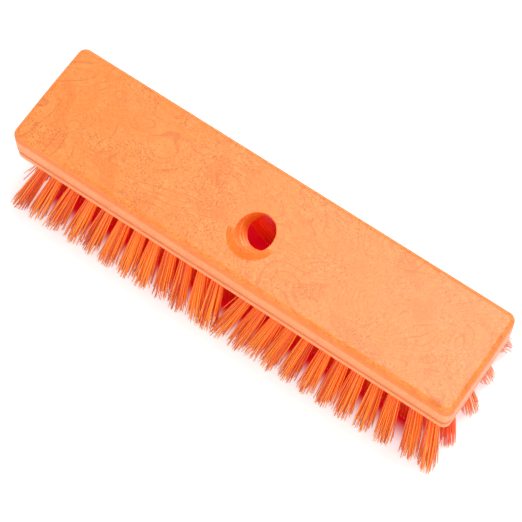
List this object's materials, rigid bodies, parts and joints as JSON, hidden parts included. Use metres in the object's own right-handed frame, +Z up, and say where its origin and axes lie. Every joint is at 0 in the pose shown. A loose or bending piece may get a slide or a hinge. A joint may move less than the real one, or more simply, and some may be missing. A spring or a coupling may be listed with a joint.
{
  "type": "deck brush",
  "caption": "deck scrub brush head: orange moulded block with a slanted threaded handle hole and fanned stiff bristles",
  "frame": {"origin": "on the floor under the middle of the block; the brush stands on its bristle tips", "axes": "+X along the block, +Z up through the top face, -Y towards the side the handle leans to"},
  "size_m": [0.254, 0.081, 0.0603],
  "materials": {
    "block_plastic": "moulded, satin",
    "bristle_plastic": "drawn filament"
  },
  "bodies": {
    "root": {"brush_block": "block_plastic", "bristles_front_left": "bristle_plastic", "bristles_front_right": "bristle_plastic", "bristles_inner_front_left": "bristle_plastic", "bristles_inner_front_right": "bristle_plastic", "bristles_middle_left": "bristle_plastic", "bristles_middle_right": "bristle_plastic", "bristles_inner_back_left": "bristle_plastic", "bristles_inner_back_right": "bristle_plastic", "bristles_back_left": "bristle_plastic", "bristles_back_right": "bristle_plastic"}
  },
  "joints": []
}
